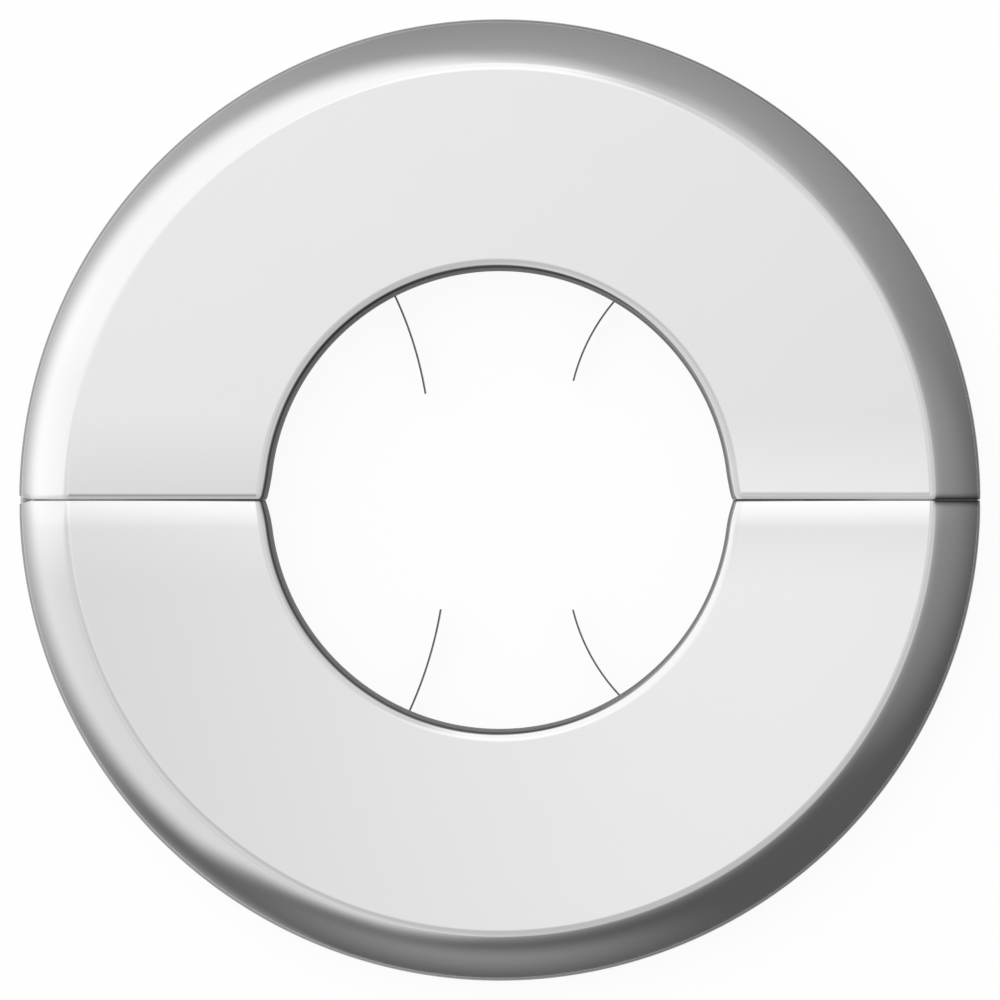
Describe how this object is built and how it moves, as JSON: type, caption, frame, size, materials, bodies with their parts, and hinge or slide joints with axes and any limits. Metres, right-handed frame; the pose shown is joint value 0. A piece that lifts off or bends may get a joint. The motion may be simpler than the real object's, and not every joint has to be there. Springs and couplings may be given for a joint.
{
  "type": "pipe escutcheon",
  "caption": "Split chromed pipe cover plate: pressed half plates, hinged at one end of the seam and latched at the other, with leaf springs in the bore that grip the pipe.",
  "frame": {"origin": "on the pipe's axis, in the plane of the wall, where the skirt's back edge rests", "axes": "+Z out of the wall along the pipe, +X along the seam from the hinge to the latch, +Y towards the upper half plate"},
  "size_m": [0.07, 0.07, 0.0056],
  "materials": {
    "plate_chrome": "polished chrome plating on pressed sheet",
    "spring_strip": "rolled and tempered spring strip",
    "plated_steel": "bright zinc plating"
  },
  "bodies": {
    "upper_half": {"upper_plate": "plate_chrome", "upper_spring": "spring_strip", "hinge_rivet": "plated_steel", "latch_tongue": "plated_steel"},
    "lower_half": {"lower_plate": "plate_chrome", "lower_spring": "spring_strip", "latch_keeper": "plated_steel"}
  },
  "joints": [
    {"name": "hinge", "type": "hinge", "parent": "upper_half", "child": "lower_half", "pos_m": [-0.0341, 0, 0.00115], "axis": [0, 0, -1], "range_deg": [0, 33]}
  ]
}
